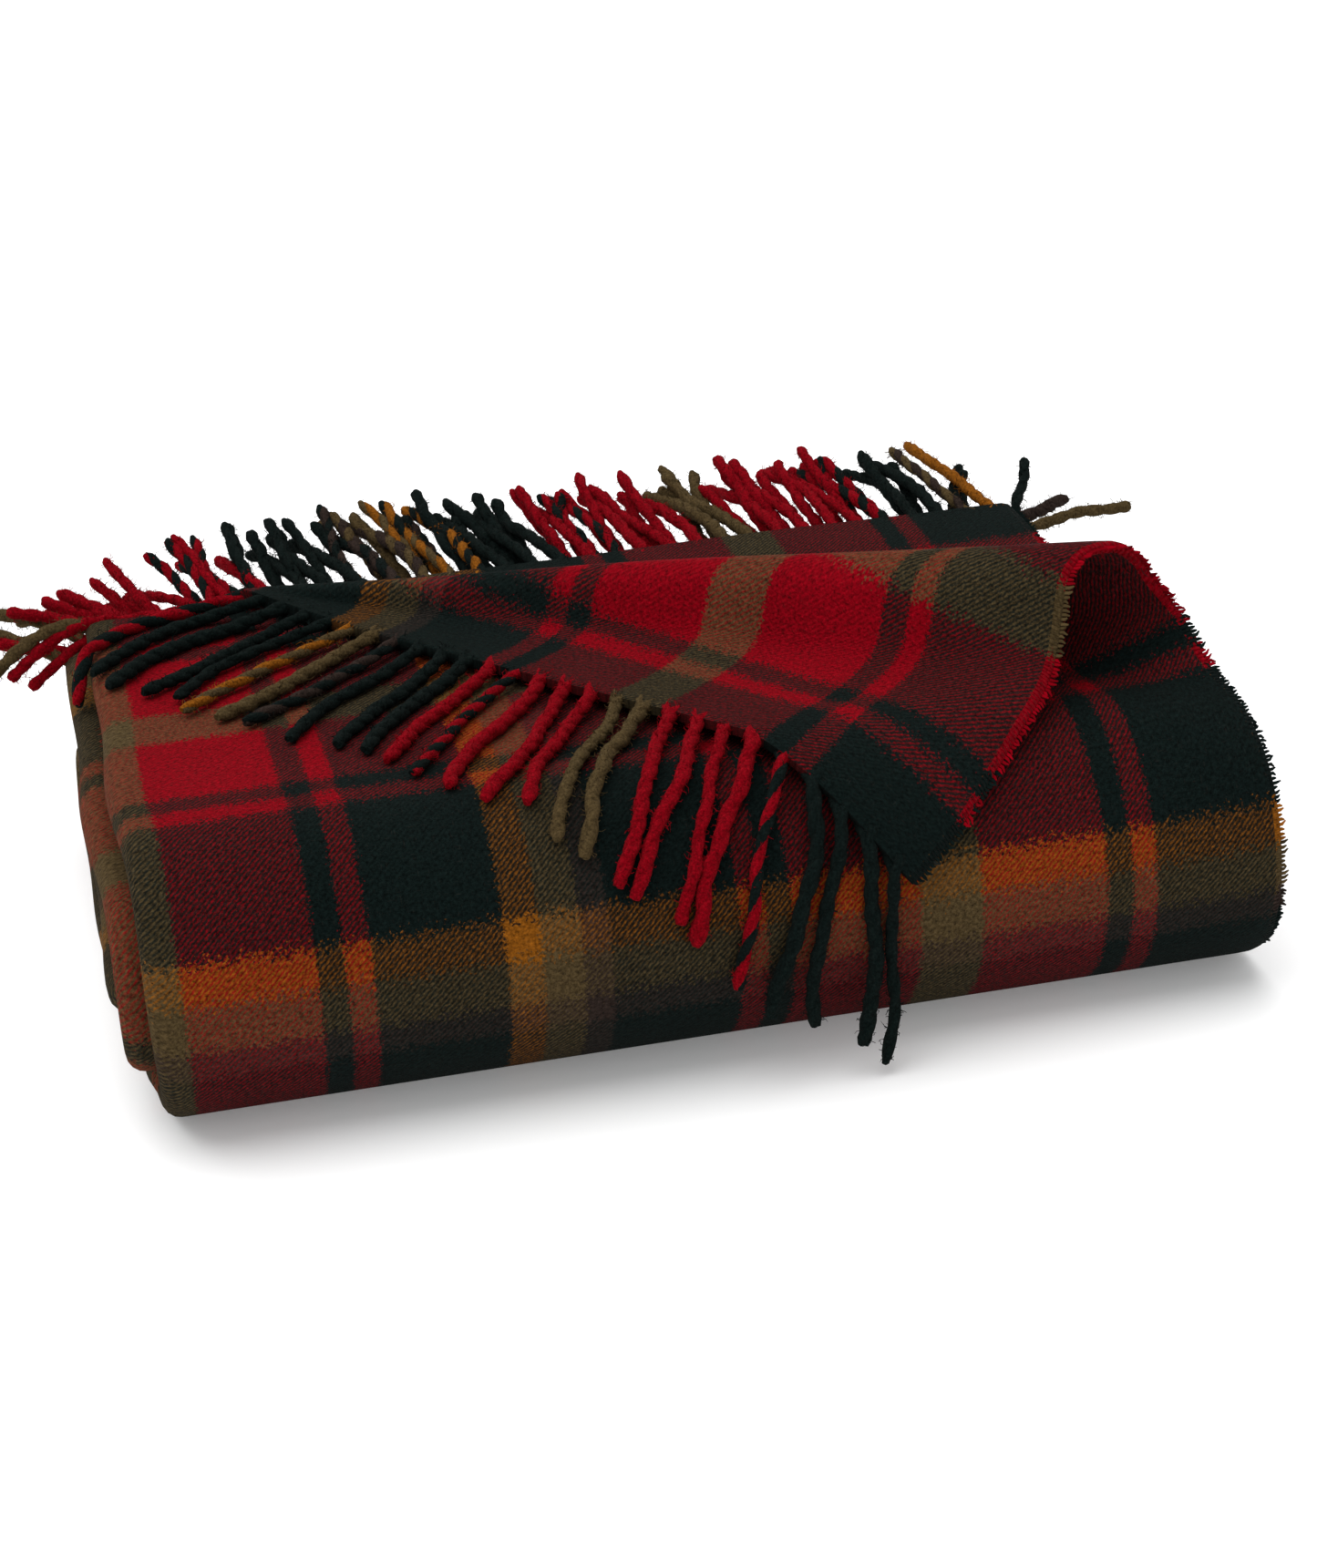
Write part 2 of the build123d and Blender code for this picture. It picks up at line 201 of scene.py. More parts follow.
def top_sheet(u, v):
    """(x, s, height) of the outside sheet, from the fringed edge to the bottom of the roll."""
    u, v = np.broadcast_arrays(np.asarray(u, float), np.asarray(v, float))
    f = np.clip((u - CREASE_U) / (WIDTH - CREASE_U), 0.0, 1.0)
    far = EDGE_V + (v - EDGE_V) / np.maximum(f, 1e-4)
    far = np.minimum(far, SELVEDGE_LINE[-1, 0])
    line = [curve(far, SELVEDGE_LINE[:, 0], SELVEDGE_LINE[:, k]) for k in (1, 2, 3)]
    past = v - crease_v(u)
    radius = TIGHT_RADIUS + START_ROUNDER * np.exp(-((f / 0.15) ** 2))
    angle = np.clip(past / radius, -math.pi / 2, math.pi / 2)
    pressed = smooth(f / 0.05)
    fold_height = radius * (1 - np.sin(angle)) * pressed
    fold_back = 1.6 * np.cos(angle) * pressed * (1 - f)
    end_past = far - crease_v(WIDTH)
    end_angle = np.clip(end_past / TIGHT_RADIUS, -math.pi / 2, math.pi / 2)
    end_height = TIGHT_RADIUS * (1 - np.sin(end_angle))
    bulge = 7.0 * f * (1 - f) * np.exp(-(((far - 160.0) / 40.0) ** 2))
    x = u + f * (line[0] - WIDTH) + 0.437 * fold_back
    s = FLAT_V - v + f * (line[1] - (FLAT_V - far)) + 0.9 * fold_back
    lifted = line[2] - base_height(line[1]) - end_height
    height = base_height(s) + fold_height + f * lifted + bulge
    return x, s, height


def second_sheet(u, v):
    """(x, s, height) of the sheet under it. It humps up behind the arch."""
    s = FLAT_V + 4.0 - v + 0 * u
    f = np.clip((u - CREASE_U) / (WIDTH - CREASE_U), 0.0, 1.0)
    at_end = EDGE_Y - (EDGE_Y - s) / np.maximum(f, 1e-4)
    hump = curve(at_end, HUMP_AT, HUMP_HEIGHT)
    crease_s = FLAT_V - crease_v(u)
    loose = 3.0 * smooth((s - 180.0) / 50.0) + 4.5 * smooth((s - crease_s - 4.0) / 35.0)
    height = np.minimum(base_height(s), 3.5) * 0.8 + f * (hump - 1.5)
    askew = 0.07 * (235.0 - u) * smooth((u - 10.0) / 50.0) * smooth((s - 100.0) / 90.0)
    x = u - 4.0 * f * smooth(hump / max(HUMP_HEIGHT)) + askew
    return x, s, np.maximum(height, -1.6) + loose


def over_roll(x, s, height):
    """Points in space of unrolled ones."""
    angle = np.maximum(0.0, (FRONT[0] - s) / ROLL_LENGTH_RADIUS)
    reach = ROLL_RADIUS + height
    y = np.where(s >= FRONT[0], s, FRONT[0] - reach * np.sin(angle))
    z = np.where(s >= FRONT[0], TOP_Z + height, FRONT[1] + reach * np.cos(angle))
    return np.stack([x, y, z], -1)


# --- the path of the folded cloth ---------------------------------------------------------------
def level(layer):
    """Height of the middle of a layer, counted from 0 at the bottom."""
    return BOTTOM_Z + PITCH * layer


def arc(centre, radius, start, end, count, side):
    """Points and normals along an arc in the y-z plane, the first left out."""
    a = np.radians(np.linspace(start, end, count + 1)[1:])
    out = np.stack([np.cos(a), np.sin(a)], 1)
    return np.array(centre) + radius * out, side * out


def line(y_start, y_end, z, normal_z, count):
    """Points and normals along a level line, the first left out."""
    y = np.linspace(y_start, y_end, count + 1)[1:]
    points = np.stack([y, np.full(count, z)], 1)
    return points, np.tile([0.0, normal_z], (count, 1))


def inner_path():
    """Middle line between two neighbouring sheets from the bottom of the front roll onwards:
    points, normals, v, and the sideways step of the folds."""
    pieces = [
        line(FRONT[0], BACK[0], level(0.5), -1, 24),
        arc(BACK, BACK[1] - level(0.5), -90, 90, 24, 1),
        line(BACK[0], HALF_FOLD[0], level(6.5), 1, 22),
        arc(HALF_FOLD, PITCH, 90, 270, 10, 1),
        line(HALF_FOLD[0], BACK[0], level(4.5), -1, 22),
        arc(BACK, PITCH, 90, -90, 10, -1),
        line(BACK[0], FRONT[0], level(2.5), 1, 22),
        arc(FRONT, FRONT[1] - level(2.5), 270, 90, 28, -1),
        line(FRONT[0], FRINGE_Y, level(8.5), -1, 28),
    ]
    points = np.concatenate([p for p, _ in pieces])
    normals = np.concatenate([n for _, n in pieces])
    steps = np.linalg.norm(np.diff(points, axis=0), axis=1)
    start = FLAT_V - FRONT[0] + ROLL_LENGTH_RADIUS * math.pi
    v = start + 8.0 + np.concatenate([[0], np.cumsum(steps)])
    counts = [len(p) for p, _ in pieces]
    before, turn = sum(counts[:3]), counts[3]
    shift = FOLD_STEP * smooth((np.arange(len(points)) - before) / turn)
    return points, normals, v, shift


def wobble(v, u, seed):
    """Small unevenness of the folds and selvedges, and of the layers' height."""
    edge = (np.abs(u) / WIDTH) ** 8 + np.exp(-np.abs(u) / 25.0)
    sideways = edge * (
        1.3 * np.sin(v / 41.0 + seed) + 0.7 * np.sin(v / 17.0 + 2.1 * seed)
    )
    upright = 0.5 * np.sin(v / 29.0 + u / 47.0 + seed) + 0.35 * np.sin(u / 23.0 - v / 61.0)
    return sideways, upright


def columns():
    """u of the mesh columns, from the inside sheet's selvedge over the left fold to the other."""
    edge = [WIDTH, WIDTH - 0.7, WIDTH - 2.0, WIDTH - 3.6]
    left = np.concatenate([edge, np.linspace(WIDTH - 9, 12, 50)])
    fold = np.linspace(-9, 9, 13)
    near = np.linspace(14, CREASE_U, 8)
    f = np.concatenate([[0.01, 0.025], np.linspace(0.045, 0.975, 54), [0.99]])
    right = CREASE_U + f * (WIDTH - CREASE_U)
    return np.concatenate([-left, fold, near, right, edge[::-1][1:]])


def edge_thickness(u):
    """Share of the cloth's thickness, thinner at the very edge of the selvedge."""
    return np.interp(WIDTH - np.abs(u), [0.0, 0.7, 2.0, 3.6], [0.3, 0.62, 0.8, 1.0])


def fold_shape(u, radius):
    """(x, offset) across the left fold, before any sideways step."""
    angle = np.clip(u / radius, -math.pi / 2, math.pi / 2)
    past = np.maximum(0.0, np.abs(u) - radius * math.pi / 2)
    start = radius * math.pi / 2 + 0.05
    return start + past - radius * np.cos(angle), radius * np.sin(angle)


def body_grid():
    """Middle points, cloth coordinates and thickness of the whole folded cloth."""
    u = columns()
    x_flat, offset = fold_shape(u, FOLD_RADIUS)
    top_share = (offset / FOLD_RADIUS + 1) / 2
    rows, cloth = [], []
    start = np.where(u > 0, split_v(np.maximum(u, 0)), EDGE_V)
    tangent = FLAT_V - FRONT[0]
    places = [(t, 0.0) for t in np.linspace(0, 1, 40)]
    places += [(1.0, angle) for angle in np.linspace(0, math.pi, 46)[1:]]
    for t, angle in places:
        v = start + (tangent - start) * t + ROLL_LENGTH_RADIUS * angle
        ax, as_, ah = top_sheet(np.maximum(u, 0.0), v)
        bx, bs, bh = second_sheet(np.abs(u), v)
        depth = FOLD_RADIUS - offset
        side, up = wobble(v, u, 0.4)
        fade = np.where(v < tangent + 60, 1.0, np.maximum(0.0, 1 - (v - tangent - 60) / 50))
        height = top_share * ah + (1 - top_share) * bh + 0.5 * up * fade
        x = np.where(np.abs(u) < 12, x_flat, top_share * ax + (1 - top_share) * bx)
        s = top_share * as_ + (1 - top_share) * bs
        rows.append(over_roll(x + side, s, height - depth))
        cloth.append(np.stack([u, v], -1))
    points, normals, vs, shift = inner_path()
    last_run = vs[-1] - 200.0
    for p, n, v, step in zip(points, normals, vs, shift):
        reach = x_flat * (WIDTH + step * 0.6) / WIDTH - step
        side, up = wobble(v, u, 1.0 + step / 4)
        x = reach + side
        y = p[0] + n[0] * offset
        lift = 4.0 * smooth((p[0] - 180.0) / 57.0) if v > last_run else 0.0
        z = np.maximum(p[1] + n[1] * offset + lift, THICKNESS / 2)
        rows.append(np.stack([x, y + 0 * x, z + 0 * x], -1))
        cloth.append(np.stack([u, np.full(len(u), v)], -1))
    thick = np.tile(THICKNESS * edge_thickness(u), (len(rows), 1))
    return np.array(rows), np.array(cloth), thick


def corner_grid():
    """The same of the turned corner, from its fringed edge to just past the crease."""
    u = columns()
    u = u[u > CREASE_U]
    f = (u - CREASE_U) / (WIDTH - CREASE_U)
    length = crease_v(u) - EDGE_V
    near = np.minimum(9.0, 0.6 * length)
    rows, cloth = [], []
    tight = smooth(f / 0.06) * SPLIT
    places = [(t, 0.0) for t in np.linspace(0, 1, 36)]
    places += [(1.0, t) for t in np.linspace(0, 1, 19)[1:]]
    for t, q in places:
        v = EDGE_V + (length - near) * t + (near + tight) * q
        x, s, height = top_sheet(u, v)
        side, up = wobble(v, u, 0.4)
        rows.append(over_roll(x + side, s, height + 0.5 * up))
        cloth.append(np.stack([u, v], -1))
    thick = np.tile(THICKNESS * edge_thickness(u), (len(rows), 1))
    taper = np.interp(np.arange(len(rows)), [0, 1], [0.7, 1.0])
    return np.array(rows), np.array(cloth), thick * taper[:, None]


# --- meshes -------------------------------------------------------------------------------------
SHARP_ANGLE = math.radians(58)


def new_object(name, points, faces, material):
    mesh = bpy.data.meshes.new(name)
    mesh.from_pydata((points - ORIGIN) * MM, [], faces)
    mesh.polygons.foreach_set("use_smooth", [True] * len(mesh.polygons))
    mesh.materials.append(material)
    mesh.update()
    mesh.set_sharp_from_angle(angle=SHARP_ANGLE)
    obj = bpy.data.objects.new(name, mesh)
    bpy.context.scene.collection.objects.link(obj)
    return obj


def paint(obj, values):
    """Cloth coordinates of each vertex: (u, v, side) for the materials."""
    attribute = obj.data.attributes.new("cloth", "FLOAT_VECTOR", "POINT")
    attribute.data.foreach_set("vector", np.asarray(values, np.float32).ravel())


def unit(vectors):
    return vectors / np.maximum(np.linalg.norm(vectors, axis=-1, keepdims=True), 1e-9)


def grid_normals(grid):
    return unit(np.cross(np.gradient(grid, axis=1), np.gradient(grid, axis=0)))


def thick_sheet(name, grid, cloth, thick, material):
    """A closed sheet round a grid of middle points, whose normals point out of the stack."""
    rows, cols = grid.shape[:2]
    normal = grid_normals(grid)
    half = (thick / 2)[..., None]
    points = np.concatenate([grid + normal * half, grid - normal * half]).reshape(-1, 3)
    index = np.arange(2 * rows * cols).reshape(2, rows, cols)
    faces = []
    for side in (0, 1):
        a = index[side]
        quads = np.stack([a[:-1, :-1], a[:-1, 1:], a[1:, 1:], a[1:, :-1]], -1).reshape(-1, 4)
        faces.append(quads if side else quads[:, ::-1])
    rims = [
        (index[0, 0], index[1, 0]),
        (index[1, -1], index[0, -1]),
        (index[1, :, 0], index[0, :, 0]),
        (index[0, :, -1], index[1, :, -1]),
    ]
    for a, b in rims:
        faces.append(np.stack([a[1:], b[1:], b[:-1], a[:-1]], -1))
    obj = new_object(name, points, np.concatenate(faces).tolist(), material)
    side = np.concatenate([np.ones(rows * cols), -np.ones(rows * cols)])
    flat = np.concatenate([cloth.reshape(-1, 2)] * 2)
    paint(obj, np.column_stack([flat, side]))
    return obj


def tube_frames(path):
    """Two directions across a path at each of its points, without twist."""
    tangent = np.gradient(path, axis=0)
    tangent /= np.linalg.norm(tangent, axis=1, keepdims=True)
    side = np.cross(tangent[0], [0.0, 0.0, 1.0])
    if np.linalg.norm(side) < 0.1:
        side = np.array([1.0, 0.0, 0.0])
    across = []
    for t in tangent:
        side = side - t * (side @ t)
        side = side / np.linalg.norm(side)
        across.append(side)
    across = np.array(across)
    return across, np.cross(tangent, across)


class Strands:
    """Collects round strands into one mesh."""

    def __init__(self):
        self.points, self.faces, self.cloth, self.count = [], [], [], 0

    def add(self, path, radius, u, sides, v=0.0):
        """A strand along a path, with a radius at each point, in the colour of the place u, v."""
        across, upward = tube_frames(path)
        a = np.linspace(0, 2 * math.pi, sides, endpoint=False)
        ring = np.cos(a)[:, None] * across[:, None] + np.sin(a)[:, None] * upward[:, None]
        points = path[:, None] + ring * radius[:, None, None]
        n = len(path)
        index = self.count + np.arange(n * sides).reshape(n, sides)
        nxt = np.roll(index, -1, axis=1)
        quads = np.stack([index[:-1], nxt[:-1], nxt[1:], index[1:]], -1).reshape(-1, 4)
        self.points.append(points.reshape(-1, 3))
        self.faces += quads.tolist()
        self.faces.append(index[0, ::-1].tolist())
        self.faces.append(index[-1].tolist())
        self.cloth.append(np.tile([u, v, 1.0], (n * sides, 1)))
        self.count += n * sides

    def build(self, name, material):
        """One object of all the strands."""
        obj = new_object(name, np.concatenate(self.points), self.faces, material)
        paint(obj, np.concatenate(self.cloth))
        return obj


def resample(path, count):
    """The path in even steps, and its length."""
    steps = np.linalg.norm(np.diff(path, axis=0), axis=1)
    at = np.concatenate([[0], np.cumsum(steps)])
    want = np.linspace(0, at[-1], count)
    return np.stack([np.interp(want, at, path[:, k]) for k in range(3)], 1), at[-1]


# --- loose fibres -------------------------------------------------------------------------------
FIBRE_RADII = (0.16, 0.13, 0.06)     # at its root, middle and tip
TASSEL_FIBRES = 100                  # on each ply of a tassel


def loose_fibres(strands, root, out, along, reach, cloth):
    """Fine fibres that stand out of the wool and bend over, one from each root."""
    count = len(root)
    lean = RNG.uniform(-0.8, 0.8, (count, 1)) * np.cross(out, along)
    lean += RNG.uniform(-1.0, 1.0, (count, 1)) * along
    reach = reach[:, None]
    middle = root + reach * (0.42 * out + 0.3 * lean)
    tip = root + reach * (RNG.uniform(0.2, 0.75, (count, 1)) * out + 0.9 * lean)
    path = np.stack([root - 0.3 * out, middle, tip], 1)
    side = unit(np.cross(tip - root, out + 0.01))
    other = unit(np.cross(tip - root, side))
    turn = np.radians([0.0, 120.0, 240.0])
    ring = np.cos(turn)[:, None] * side[:, None] + np.sin(turn)[:, None] * other[:, None]
    thick = np.array(FIBRE_RADII)[None, :, None, None]
    points = path[:, :, None] + thick * ring[:, None]
    index = strands.count + np.arange(count * 9).reshape(count, 3, 3)
    nxt = np.roll(index, -1, axis=2)
    quads = np.stack([index[:, :-1], nxt[:, :-1], nxt[:, 1:], index[:, 1:]], -1)
    strands.points.append(points.reshape(-1, 3))
    strands.faces += quads.reshape(-1, 4).tolist()
    strands.faces += index[:, 0, ::-1].tolist()
    strands.faces += index[:, -1].tolist()
    strands.cloth.append(np.repeat(np.column_stack([cloth, np.ones(count)]), 9, axis=0))
    strands.count += count * 9


def nap(strands, shape, side, rows, cols, count):
    """Loose fibres over part of a sheet."""
    grid, cloth, thick = shape
    i = RNG.integers(rows[0], rows[1], count)
    j = RNG.integers(cols[0], cols[1], count)
    step_v, step_u = grid[i + 1, j] - grid[i, j], grid[i, j + 1] - grid[i, j]
    normal = (grid_normals(grid) * side)[i, j]
    root = grid[i, j] + RNG.uniform(0, 1, (count, 1)) * step_v
    root += RNG.uniform(0, 1, (count, 1)) * step_u + normal * thick[i, j][:, None] / 2
    place = cloth[i, j] + RNG.normal(0, 3.0, (count, 2))
    loose_fibres(strands, root, normal, unit(step_v), RNG.uniform(1.2, 3.6, count), place)


# --- selvedges ----------------------------------------------------------------------------------
LOOP_REACH = (1.3, 2.6)      # how far the loops stand out, from and to
LOOP_STEP = (1.2, 1.7)       # and the distance from one to the next
LOOP_RADII = (0.75, 0.62, 0.28)


def loops_along(loops, edge, inner, cloth):
    """A comb of short weft loops along one side of a sheet."""
    steps = np.linalg.norm(np.diff(edge, axis=0), axis=1)
    at = np.concatenate([[0], np.cumsum(steps)])
    place = 1.0
    while place < at[-1] - 1.0:
        i = min(np.searchsorted(at, place, side="right") - 1, len(steps) - 1)
        t = (place - at[i]) / max(steps[i], 1e-6)
        root = edge[i] * (1 - t) + edge[i + 1] * t
        out = root - (inner[i] * (1 - t) + inner[i + 1] * t)
        out /= np.linalg.norm(out)
        along = (edge[i + 1] - edge[i]) / max(steps[i], 1e-6)
        up = np.cross(out, along)
        reach = RNG.uniform(*LOOP_REACH)
        lean = along * RNG.uniform(-0.5, 0.5) + up * RNG.uniform(-0.35, 0.35)
        path = np.array([root - 0.9 * out, root + 0.5 * reach * out, root + reach * (out + lean)])
        colour_v = cloth[i, 1] * (1 - t) + cloth[i + 1, 1] * t
        loops.add(path, np.array(LOOP_RADII), cloth[i, 0], 4, colour_v)
        place += RNG.uniform(*LOOP_STEP)


def selvedge_loops(shape, sides):
    """The loops along the selvedges of a sheet. sides are the column at each and one inside."""
    middle, cloth, _ = shape
    loops = Strands()
    for end, inside in sides:
        loops_along(loops, middle[:, end], middle[:, inside], cloth[:, end])
    return loops


# --- fringe -------------------------------------------------------------------------------------
TASSELS = 32
TASSEL_LENGTH = 75.0
TASSEL_RADIUS = 2.6
PLY_RADIUS = 1.88
PLY_OFFSET = 0.55            # from the tassel's middle line, where the plies are wound together
PLY_START = 2.6              # the same at the cloth's edge
PLY_JOIN = 7.0               # how far from the edge they are together
PLY_COLOUR = 1.9             # each ply has the colour of the warp so far to its side
TASSEL_U = WIDTH * (np.arange(TASSELS) + 0.5) / TASSELS
# The corner's tassels, by u: plan angle from the left towards the front, in degrees.
HANG_AT = [50, 90, 113, 140, 165, 200, 290, 315, 335, 355]
HANG_DEG = [29, 39, 42, 44, 54, 60, 63, 70, 82, 89]
HANG_FREE = 1.45             # angle round the front roll past which a tassel hangs in the air
HANG_RADIUS = 47.0           # of the roll with the cloth and half a tassel on it
CORNER_EDGE = np.array([math.cos(0.93), -math.sin(0.93), 0.0])  # direction of its fringed edge
BUNCH_BOW, BUNCH_LENGTH = 9.0, 85.0  # bow of the corner's first tassels, and where it ends


def twisted_tassel(strands, path, u, edge_direction, sign=1.0):
    """A two-ply tassel along a path, from the warp at u. The plies start apart at the cloth's
    edge and wind together. sign is -1 where the cloth lies inside out."""
    path, length = resample(path, 36)
    across, upward = tube_frames(path)
    distance = np.linspace(0, length, len(path))
    swing, wavelength, start = RNG.uniform(0.3, 0.9), RNG.uniform(20.0, 40.0), RNG.uniform(0, 6)
    sway = swing * np.sin(2 * math.pi * distance / wavelength + start) * smooth(distance / 20)
    path = path + sway[:, None] * (0.8 * across + 0.3 * upward)
    pitch = RNG.uniform(13.0, 20.0)
    phase = RNG.uniform(0, 2 * math.pi)
    joined = smooth(distance / PLY_JOIN)
    thick = RNG.uniform(0.86, 1.12)
    for ply in (0, 1):
        angle = phase + math.pi * ply + 2 * math.pi * distance / pitch
        apart = (edge_direction * (2 * ply - 1) * PLY_START)[None]
        wound = np.cos(angle)[:, None] * across + np.sin(angle)[:, None] * upward
        centre = path + (1 - joined)[:, None] * apart + joined[:, None] * wound * PLY_OFFSET * thick
        radius = (PLY_RADIUS + 0.5 * (1 - joined)) * thick
        radius += 0.12 * np.sin(distance / 2.6 + 3 * phase)
        radius[0] *= 0.8
        radius[-3:] *= [1.05, 1.0, 0.6]
        colour = u + sign * (PLY_COLOUR if ply else -PLY_COLOUR)
        strands.add(centre, radius, colour, 8)
        i = RNG.integers(1, len(path) - 1, TASSEL_FIBRES)
        turn = RNG.uniform(0, 2 * math.pi, (TASSEL_FIBRES, 1))
        out = np.cos(turn) * across[i] + np.sin(turn) * upward[i]
        root = centre[i] + out * radius[i][:, None]
        place = np.column_stack([np.full(TASSEL_FIBRES, colour), np.zeros(TASSEL_FIBRES)])
        forward = np.cross(across[i], upward[i])
        loose_fibres(strands, root, out, forward, RNG.uniform(0.9, 3.0, TASSEL_FIBRES), place)


def hanging(x, s, height):
    """As over_roll, but past the front of the roll things hang straight down, in the air."""
    angle = (FRONT[0] - s) / ROLL_LENGTH_RADIUS
    turned = np.minimum(angle, HANG_FREE)
    point = over_roll(x, FRONT[0] - ROLL_LENGTH_RADIUS * turned, height)
    drop = np.maximum(0.0, angle - HANG_FREE) * HANG_RADIUS
    point[..., 2] -= drop
    point[..., 1] -= 0.12 * drop
    return point


def over_the_left(path):
    """Lets the end of a tassel bend down where it reaches past the left folds."""
    past = np.maximum(0.0, 1.0 - path[:, 0])
    path[:, 2] -= 0.85 * past**1.15
    path[:, 0] += 0.45 * past
    return path


def corner_fringe(material):
    """The tassels of the turned corner, which lie on the stack and hang over the front roll."""
    strands = Strands()
    for u in TASSEL_U:
        if u < CREASE_U:
            continue
        x0, s0, h0 = (float(c) for c in top_sheet(u, EDGE_V))
        hang = math.radians(float(np.interp(u, HANG_AT, HANG_DEG)) + RNG.uniform(-3, 3))
        past = max(0.0, u - 200) / 155
        length = (TASSEL_LENGTH + 5.0 - 17.0 * past) * RNG.uniform(0.93, 1.04)
        t = np.linspace(-5.0 / length, 1, 24)
        bunched = BUNCH_BOW * max(0.0, 1 - (u - CREASE_U) / BUNCH_LENGTH)
        bow = (RNG.uniform(-4.0, 4.0) - bunched) * np.sin(math.pi * np.clip(t, 0, 1))
        wave = RNG.uniform(-1.6, 1.6) * np.sin(2 * math.pi * np.clip(t, 0, 1))
        along = length * t
        x = x0 - math.cos(hang) * along + math.sin(hang) * (bow + wave)
        s = s0 - math.sin(hang) * along - math.cos(hang) * (bow + wave)
        rest = base_height(s) + THICKNESS / 2 + TASSEL_RADIUS
        height = h0 + (rest - h0) * smooth(t / 0.3)
        path = over_the_left(hanging(x, s, height))
        path[:, 2] = np.maximum(path[:, 2], 4.0)
        twisted_tassel(strands, path, u, CORNER_EDGE)
    return strands.build("corner_tassels", material)


ROWS = {
    "a": (11, -8.0, 46.0, 0.0, 0.0),
    "b": (10, -1.0, 33.0, -8.0, 29.0),
    "c": (9, 18.0, 40.0, 52.0, 22.0),
    "d": (8, 21.0, 42.0, 16.0, 0.0),
}


def back_fringe(sheet, material):
    """The tassels of one sheet at the back. They lean to the left, and those next to the
    selvedge to the right."""
    layer, tip_rise, left_reach, right_reach, drawn = ROWS[sheet]
    strands = Strands()
    sign = -1.0 if sheet in "bc" else 1.0
    for u in TASSEL_U:
        if sheet == "a" and u > CREASE_U:
            continue
        left = float(smooth((62.0 - u) / 50.0)) if sheet != "a" else 1.0
        right = float(smooth((u - 305.0) / 50.0))
        lean = 15.0 + (left_reach - 15.0) * left - (15.0 + right_reach) * right
        lean += RNG.uniform(-7, 7)
        length = TASSEL_LENGTH * RNG.uniform(0.88, 1.02) * (1 - 0.3 * left)
        lean = min(lean, 0.93 * length)
        rise = tip_rise + RNG.uniform(-3, 3) - 10.0 * left - 0.36 * right_reach * max(right, 0)
        dy = math.sqrt(max(length**2 - lean**2 - rise**2, 40.0))
        dy *= 1 - right * min(1.0, max(0.0, right_reach / 70.0))
        if sheet == "a":
            dy = -10.0 + 14.0 * (1 - u / CREASE_U) * RNG.uniform(0.6, 1.2)
        t = np.linspace(-0.07, 1, 22)
        ahead = np.clip(t, 0, 1)
        x0 = u
        bow = RNG.uniform(-4.0, 4.0) * np.sin(math.pi * ahead)
        if sheet == "a":
            _, s0, h0 = (float(c) for c in top_sheet(u, EDGE_V))
            y0, z0 = s0, TOP_Z + h0
        elif sheet == "b":
            x0, s0, h0 = (float(c) for c in second_sheet(u, EDGE_V))
            y0, z0 = s0, TOP_Z - PITCH + h0
        else:
            y0, z0 = FRINGE_Y, level(layer) + 4.0
        x = x0 - lean * ahead**1.15 + bow
        y = y0 + dy * t
        crown = 5.0 if sheet == "a" else 2.5
        z = z0 + rise * ahead**1.6 + crown * np.sin(math.pi * ahead)
        path = np.stack([x, y, z], 1)
        place = u + drawn * float(smooth((u - 322.0) / 24.0))
        twisted_tassel(strands, path, sign * place, np.array([1.0, 0.0, 0.0]), sign)
    return strands.build(f"back_tassels_{sheet}", material)


